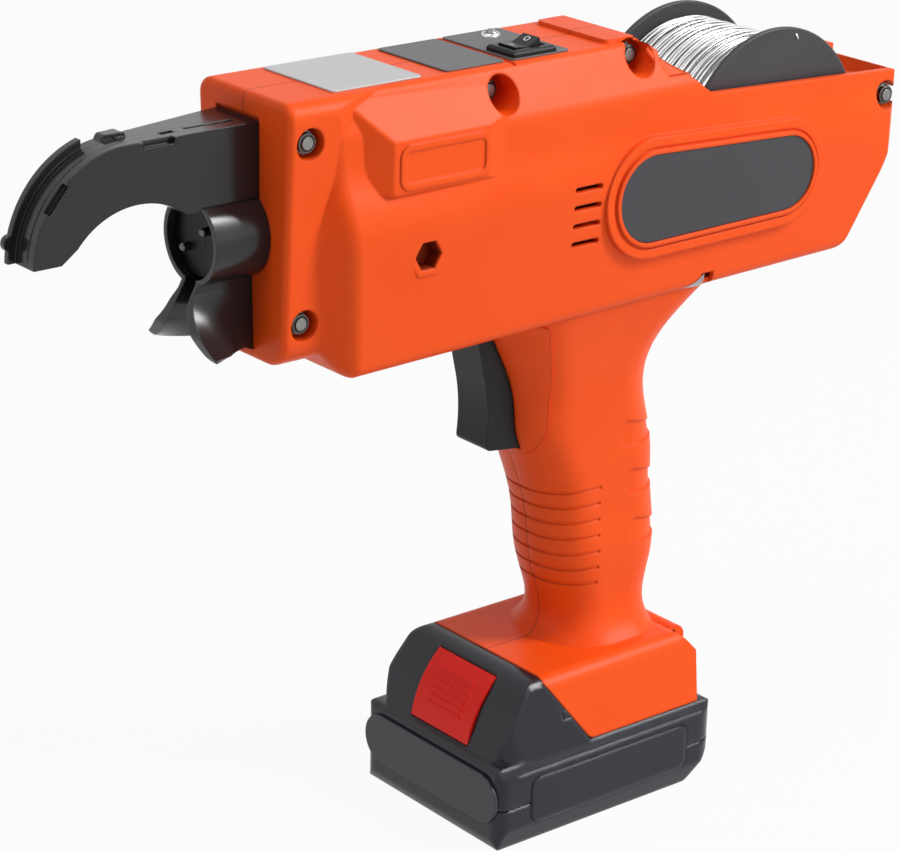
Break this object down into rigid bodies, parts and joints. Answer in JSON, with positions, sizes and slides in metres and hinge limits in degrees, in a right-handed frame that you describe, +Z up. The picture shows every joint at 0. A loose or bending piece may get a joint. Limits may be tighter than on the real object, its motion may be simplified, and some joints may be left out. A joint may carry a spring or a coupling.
{
  "type": "rebar tying tool",
  "caption": "Pistol-grip cordless rebar tying tool: orange barrel with a wire spool at the rear, hooked wire guide and twisting jaw in front, trigger handle and slide-on battery base.",
  "frame": {"origin": "on the floor under the middle of the battery's base", "axes": "+X forward along the barrel, +Y to the tool's left side, +Z up"},
  "size_m": [0.336, 0.0736, 0.2701],
  "materials": {
    "orange_plastic": "fine satin texture, moulded",
    "zinc_steel": "bright zinc plate",
    "clear_label": "silver film",
    "grey_label": "satin film",
    "dark_plaque": "semi-gloss film",
    "black_plastic": "satin, moulded",
    "lamp_lens": "clear lens",
    "circuit_board": "solder mask",
    "black_nylon": "satin, moulded",
    "spring_steel": "drawn wire",
    "dark_steel": "blackened",
    "bright_steel": "ground",
    "cast_alloy": "die cast",
    "motor_can": "drawn can",
    "tie_wire": "bright drawn wire",
    "battery_plastic": "semi-gloss, moulded",
    "cell_sleeve": "shrink sleeve",
    "red_plastic": "gloss, moulded"
  },
  "bodies": {
    "tool": {"left_housing": "orange_plastic", "right_housing": "orange_plastic", "housing_bolts": "zinc_steel", "housing_nuts": "zinc_steel", "handle_screws": "zinc_steel", "top_window_plate": "clear_label", "top_info_plate": "grey_label", "switch_plate": "grey_label", "left_side_plaque": "dark_plaque", "right_side_plaque": "dark_plaque", "rocker_frame": "black_plastic", "status_lamp": "lamp_lens", "control_board": "circuit_board", "trigger_switch": "black_plastic", "trigger_spring": "spring_steel", "guide_arm_core": "black_nylon", "guide_arm_left_cheek": "black_nylon", "guide_arm_right_cheek": "black_nylon", "lower_jaw": "black_nylon", "front_bearing": "bright_steel", "gearbox_bearing": "bright_steel", "gearbox_case": "cast_alloy", "twist_motor": "motor_can", "feed_frame": "dark_steel", "feed_motor": "motor_can", "lever_pin": "bright_steel", "pinch_spring": "spring_steel", "inlet_bush": "black_plastic", "guide_tube": "bright_steel", "cutter_block": "dark_steel", "spool_axle": "bright_steel", "terminal_block": "black_plastic"},
    "rocker": {"rocker_paddle": "black_plastic"},
    "trigger_body": {"trigger": "black_plastic"},
    "spool": {"wire_spool": "black_plastic", "wire_core": "tie_wire", "wire_winding": "tie_wire"},
    "twister": {"twist_head": "dark_steel", "twist_pins": "bright_steel", "twist_spindle": "dark_steel", "planet_carrier": "dark_steel"},
    "planet_1": {"planet_gear_1": "bright_steel"},
    "planet_2": {"planet_gear_2": "bright_steel"},
    "planet_3": {"planet_gear_3": "bright_steel"},
    "sun": {"sun_pinion": "bright_steel"},
    "feed_drive": {"feed_gear": "bright_steel", "drive_shaft": "bright_steel", "drive_wheel": "dark_steel"},
    "feed_motor_pinion": {"feed_pinion": "bright_steel"},
    "lever": {"idler_lever": "dark_steel"},
    "idler": {"idler_wheel": "dark_steel"},
    "cutter": {"cutter_drum": "dark_steel"},
    "battery": {"battery_upper_shell": "battery_plastic", "battery_lower_shell": "battery_plastic", "battery_front_plate": "dark_plaque", "battery_side_plates": "dark_plaque", "battery_cells": "cell_sleeve", "battery_screws": "zinc_steel", "latch_spring": "spring_steel"},
    "button": {"release_button": "red_plastic"}
  },
  "joints": [
    {"name": "trigger_pull", "type": "slide", "parent": "tool", "child": "trigger_body", "axis": [-1, 0, 0], "range_m": [0, 0.007], "stiffness_N_per_m": 600, "springref_m": -0.004, "deforming": ["trigger_spring"]},
    {"name": "rocker_tip", "type": "hinge", "parent": "tool", "child": "rocker", "pos_m": [0.0264, 0.01055, 0.2632], "axis": [0, 1, 0], "range_deg": [-20, 0]},
    {"name": "battery_slide", "type": "slide", "parent": "tool", "child": "battery", "axis": [1, 0, 0], "range_m": [0, 0.08]},
    {"name": "button_press", "type": "slide", "parent": "battery", "child": "button", "axis": [-0.878, 0, -0.4787], "range_m": [0, 0.003], "stiffness_N_per_m": 900, "springref_m": -0.003, "deforming": ["latch_spring"]},
    {"name": "spool_spin", "type": "hinge", "parent": "tool", "child": "spool", "pos_m": [-0.0728, 0, 0.22351], "axis": [0, 1, 0], "continuous": true},
    {"name": "twist_spin", "type": "hinge", "parent": "tool", "child": "twister", "pos_m": [0, 0, 0.222], "axis": [1, 0, 0], "continuous": true},
    {"name": "sun_spin", "type": "hinge", "parent": "tool", "child": "sun", "pos_m": [0, 0, 0.222], "axis": [1, 0, 0], "continuous": true},
    {"name": "feed_spin", "type": "hinge", "parent": "tool", "child": "feed_drive", "pos_m": [-0.004, 0, 0.239], "axis": [0, 1, 0], "continuous": true},
    {"name": "feed_pinion_spin", "type": "hinge", "parent": "tool", "child": "feed_motor_pinion", "pos_m": [-0.00901, 0, 0.21799], "axis": [0, 1, 0], "continuous": true},
    {"name": "lever_lift", "type": "hinge", "parent": "tool", "child": "lever", "pos_m": [0.012, 0, 0.255], "axis": [0, 1, 0], "range_deg": [0, 4], "stiffness_Nm_per_rad": 0.2, "springref_deg": -5.73, "deforming": ["pinch_spring"]},
    {"name": "idler_spin", "type": "hinge", "parent": "lever", "child": "idler", "pos_m": [-0.004, 0, 0.2528], "axis": [0, 1, 0], "continuous": true},
    {"name": "cutter_swing", "type": "hinge", "parent": "tool", "child": "cutter", "pos_m": [0.1045, 0, 0.2474], "axis": [0, 1, 0], "range_deg": [0, 30]},
    {"name": "planet_1_spin", "type": "hinge", "parent": "twister", "child": "planet_1", "pos_m": [0, 0.0108, 0.222], "axis": [1, 0, 0], "continuous": true},
    {"name": "planet_2_spin", "type": "hinge", "parent": "twister", "child": "planet_2", "pos_m": [0, -0.0054, 0.23135], "axis": [1, 0, 0], "continuous": true},
    {"name": "planet_3_spin", "type": "hinge", "parent": "twister", "child": "planet_3", "pos_m": [0, -0.0054, 0.21265], "axis": [1, 0, 0], "continuous": true}
  ],
  "couplings": [
    {"joint": "planet_1_spin", "follows": "twist_spin", "ratio": -3},
    {"joint": "planet_2_spin", "follows": "twist_spin", "ratio": -3},
    {"joint": "planet_3_spin", "follows": "twist_spin", "ratio": -3},
    {"joint": "sun_spin", "follows": "twist_spin", "ratio": 4},
    {"joint": "feed_pinion_spin", "follows": "feed_spin", "ratio": -3.5},
    {"joint": "idler_spin", "follows": "feed_spin", "ratio": -1.6}
  ]
}
